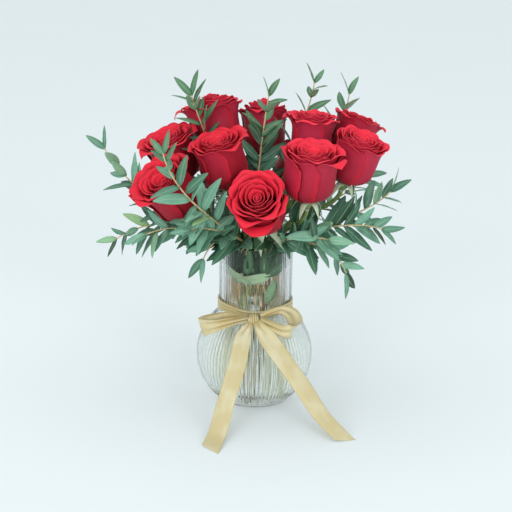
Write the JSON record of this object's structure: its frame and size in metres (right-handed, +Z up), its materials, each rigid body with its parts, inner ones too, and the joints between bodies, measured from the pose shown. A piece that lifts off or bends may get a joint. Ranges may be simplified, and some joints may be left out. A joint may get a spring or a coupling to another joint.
{
  "type": "roses in a vase",
  "caption": "Bunch of red roses with sprays of narrow leaves in a ribbed clear vase with a round body and straight neck, a ribbon bow tied round the neck; decorates a table.",
  "frame": {"origin": "centre of the vase's flat foot, on the table", "axes": "+Z up along the vase's axis, -Y towards the front where the bow is tied, +X to the right seen from the front"},
  "size_m": [0.3288, 0.2923, 0.3539],
  "materials": {
    "glass": "clear glass with fine upright ribs",
    "water": "clear still water",
    "ribbon_satin": "pale gold satin ribbon",
    "rose_petal": "velvety red petal with a slightly paler lip",
    "rose_green": "matt green stem, hip, sepals and leaf",
    "spray_leaf": "matt blue-green leaf on a tan twig"
  },
  "bodies": {
    "root": {"vase": "glass", "water": "water", "ribbon_band": "ribbon_satin", "ribbon_knot": "ribbon_satin", "ribbon_loop_left": "ribbon_satin", "ribbon_loop_right": "ribbon_satin", "ribbon_tail_left": "ribbon_satin", "ribbon_tail_right": "ribbon_satin", "rose_01_bloom": "rose_petal", "rose_02_bloom": "rose_petal", "rose_03_bloom": "rose_petal", "rose_04_bloom": "rose_petal", "rose_05_bloom": "rose_petal", "rose_06_bloom": "rose_petal", "rose_07_bloom": "rose_petal", "rose_08_bloom": "rose_petal", "rose_09_bloom": "rose_petal", "rose_10_bloom": "rose_petal", "rose_11_bloom": "rose_petal", "rose_12_bloom": "rose_petal", "rose_01_stem": "rose_green", "rose_02_stem": "rose_green", "rose_03_stem": "rose_green", "rose_04_stem": "rose_green", "rose_05_stem": "rose_green", "rose_06_stem": "rose_green", "rose_07_stem": "rose_green", "rose_08_stem": "rose_green", "rose_09_stem": "rose_green", "rose_10_stem": "rose_green", "rose_11_stem": "rose_green", "rose_12_stem": "rose_green", "spray_01": "spray_leaf", "spray_02": "spray_leaf", "spray_03": "spray_leaf", "spray_04": "spray_leaf", "spray_05": "spray_leaf", "spray_06": "spray_leaf", "spray_07": "spray_leaf", "spray_08": "spray_leaf", "spray_09": "spray_leaf", "spray_10": "spray_leaf", "spray_11": "spray_leaf", "spray_12": "spray_leaf", "spray_13": "spray_leaf", "spray_14": "spray_leaf", "spray_15": "spray_leaf", "spray_16": "spray_leaf", "spray_17": "spray_leaf", "spray_18": "spray_leaf"}
  },
  "joints": []
}
